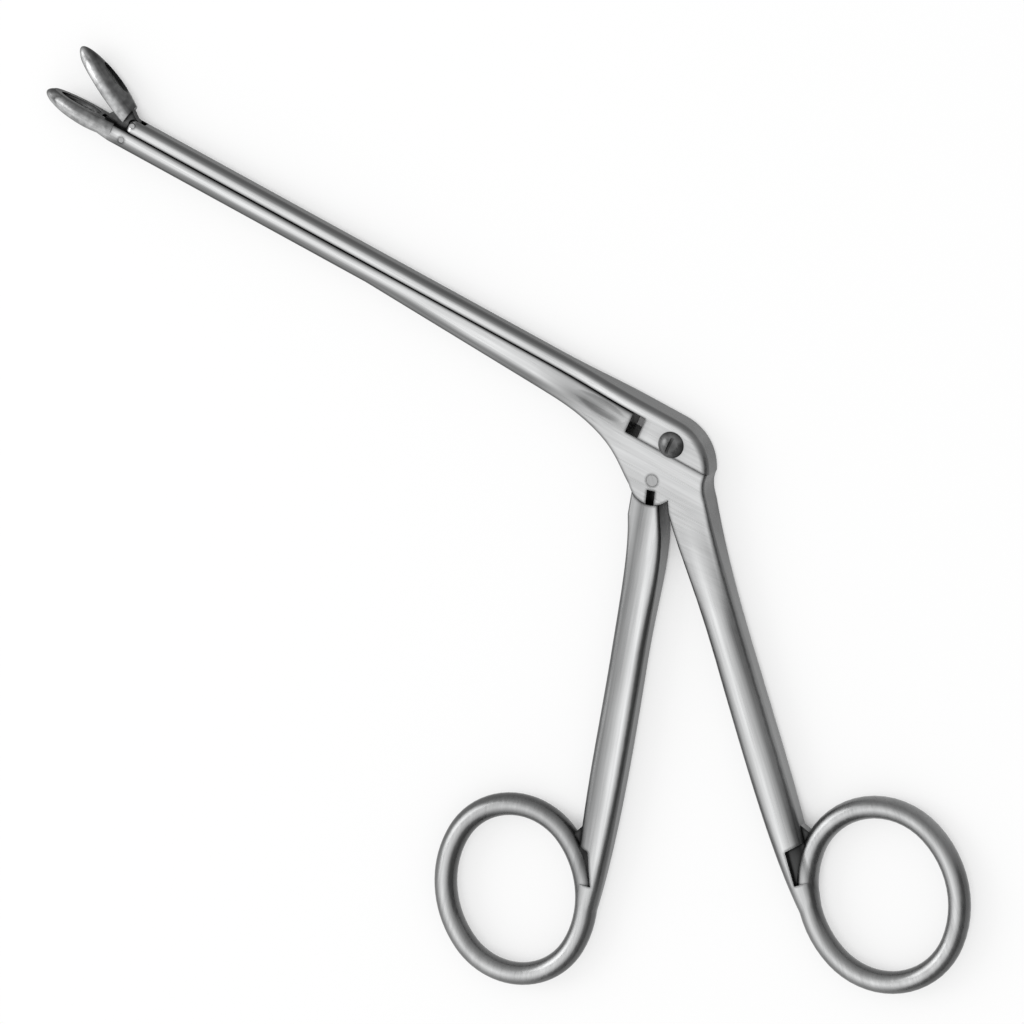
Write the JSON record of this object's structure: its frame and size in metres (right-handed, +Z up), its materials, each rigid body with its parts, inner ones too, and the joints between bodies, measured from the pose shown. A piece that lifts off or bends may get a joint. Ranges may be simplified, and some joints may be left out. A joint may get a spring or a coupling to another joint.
{
  "type": "nasal forceps",
  "caption": "Nasal forceps with a sliding upper shaft, cup jaws at the tip and oval finger rings, shown open; closing the rings slides the upper bar and shuts the jaws.",
  "frame": {"origin": "on the axis of the main pivot, in the plane the body rests on", "axes": "+X along the shaft towards the jaws, +Y towards the finger rings, +Z up through the thickness when it lies flat"},
  "size_m": [0.2068, 0.1139, 0.0071],
  "materials": {
    "forged_steel": "satin polished stainless steel",
    "slide_steel": "satin polished stainless steel",
    "jaw_steel": "satin polished stainless steel",
    "pin_steel": "rivet ends ground flush and polished",
    "screw_steel": "bright turned stainless steel"
  },
  "bodies": {
    "frame": {"fixed_shaft": "forged_steel", "jaw_hinge_pin": "pin_steel", "pivot_pin": "pin_steel"},
    "slide": {"slide_bar": "slide_steel", "drive_screw": "screw_steel", "jaw_link_pin": "pin_steel"},
    "jaw": {"moving_jaw": "jaw_steel"},
    "handle": {"front_handle": "forged_steel"}
  },
  "joints": [
    {"name": "handle_squeeze", "type": "hinge", "parent": "frame", "child": "handle", "pos_m": [0, 0, 0.0029], "axis": [0, 0, 1], "range_deg": [0, 12.73]},
    {"name": "slide_travel", "type": "slide", "parent": "frame", "child": "slide", "axis": [1, 0, 0], "range_m": [0, 0.00166]},
    {"name": "jaw_swing", "type": "hinge", "parent": "frame", "child": "jaw", "pos_m": [0.1092, -0.00745, 0.0029], "axis": [0, 0, 1], "range_deg": [0, 29]}
  ],
  "couplings": [
    {"joint": "slide_travel", "follows": "handle_squeeze", "m_per_rad": 0.0074451},
    {"joint": "jaw_swing", "follows": "handle_squeeze", "ratio": 2.2767}
  ]
}
